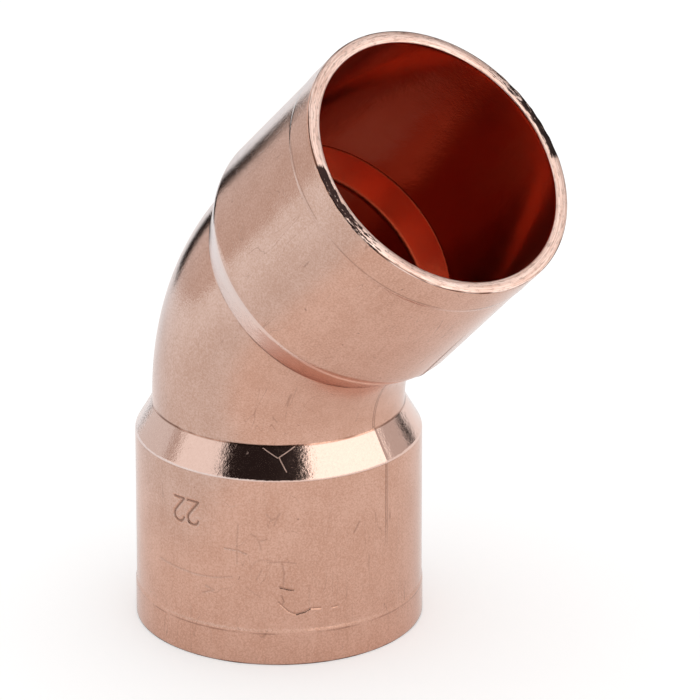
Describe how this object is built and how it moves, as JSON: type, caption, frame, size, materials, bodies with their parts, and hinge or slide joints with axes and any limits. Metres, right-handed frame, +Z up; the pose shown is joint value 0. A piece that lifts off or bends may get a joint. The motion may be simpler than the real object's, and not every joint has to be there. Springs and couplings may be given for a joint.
{
  "type": "forty-five degree copper elbow",
  "caption": "Copper pipe elbow that turns a run through 45 degrees, with a solder socket at each end and a round cone from each socket to the bend.",
  "frame": {"origin": "centre of the lower socket's mouth, in the plane of its rim", "axes": "+Z up along the lower socket's axis, away from its mouth; +X towards the side the upper socket leans to; the upper socket's axis points along (1, 0, 1) out of its mouth"},
  "size_m": [0.0394, 0.0242, 0.0538],
  "materials": {
    "copper": "bare drawn copper, satin, brighter on the cones and deep red inside"
  },
  "bodies": {
    "root": {"elbow": "copper"}
  },
  "joints": []
}
